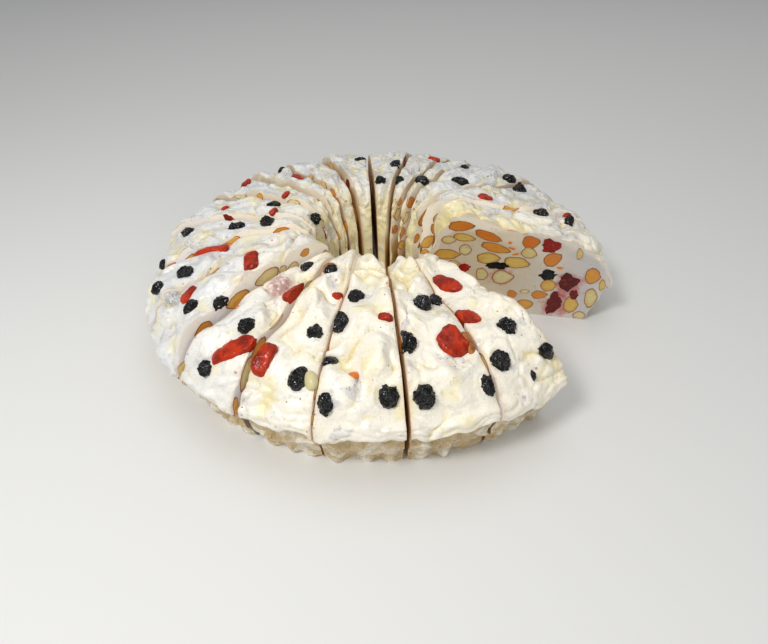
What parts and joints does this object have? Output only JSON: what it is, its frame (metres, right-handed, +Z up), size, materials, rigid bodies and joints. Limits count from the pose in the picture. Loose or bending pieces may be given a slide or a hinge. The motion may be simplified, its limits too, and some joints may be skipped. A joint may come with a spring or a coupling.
{
  "type": "ring-shaped soft nougat cake",
  "caption": "Ring-shaped soft nougat cake with a fluted base, cut in wedges with a portion missing, set with almonds, dark berries and candied red fruit.",
  "frame": {"origin": "the ring's axis at the base, on the surface that it rests on", "axes": "+Z up along the ring's axis; the missing portion opens towards +X and a little -Y"},
  "size_m": [0.3799, 0.3829, 0.0917],
  "materials": {
    "nougat": "creamy white whipped nougat skin, soft satin, with a cooler, rougher grey-beige on the cut faces",
    "dark_berry": "near-black wrinkled dried berry, glossy",
    "candied_fruit": "translucent red candied fruit, sticky gloss",
    "almond": "roasted almond: pale yellow inside, thin brown skin"
  },
  "bodies": {
    "root": {"slice_01": "nougat", "slice_02": "nougat", "slice_03": "nougat", "slice_04": "nougat", "slice_05": "nougat", "slice_06": "nougat", "slice_07": "nougat", "slice_08": "nougat", "slice_09": "nougat", "slice_10": "nougat", "slice_11": "nougat", "slice_12": "nougat", "slice_13": "nougat", "slice_14": "nougat", "slice_15": "nougat", "slice_16": "nougat", "slice_17": "nougat", "slice_18": "nougat", "slice_19": "nougat", "dark_berry_01": "dark_berry", "dark_berry_02": "dark_berry", "dark_berry_03": "dark_berry", "dark_berry_04": "dark_berry", "dark_berry_05": "dark_berry", "dark_berry_06": "dark_berry", "dark_berry_07": "dark_berry", "dark_berry_08": "dark_berry", "dark_berry_09": "dark_berry", "dark_berry_10": "dark_berry", "dark_berry_11": "dark_berry", "dark_berry_12": "dark_berry", "dark_berry_13": "dark_berry", "dark_berry_14": "dark_berry", "dark_berry_15": "dark_berry", "dark_berry_16": "dark_berry", "dark_berry_17": "dark_berry", "dark_berry_18": "dark_berry", "dark_berry_19": "dark_berry", "dark_berry_20": "dark_berry", "dark_berry_21": "dark_berry", "dark_berry_22": "dark_berry", "dark_berry_23": "dark_berry", "dark_berry_24": "dark_berry", "dark_berry_25": "dark_berry", "dark_berry_26": "dark_berry", "dark_berry_27": "dark_berry", "dark_berry_28": "dark_berry", "dark_berry_29": "dark_berry", "red_fruit_01": "candied_fruit", "red_fruit_02": "candied_fruit", "red_fruit_03": "candied_fruit", "red_fruit_04": "candied_fruit", "red_fruit_05": "candied_fruit", "red_fruit_06": "candied_fruit", "red_fruit_07": "candied_fruit", "red_fruit_08": "candied_fruit", "red_fruit_09": "candied_fruit", "red_fruit_10": "candied_fruit", "red_fruit_11": "candied_fruit", "red_fruit_12": "candied_fruit"}
  },
  "joints": []
}
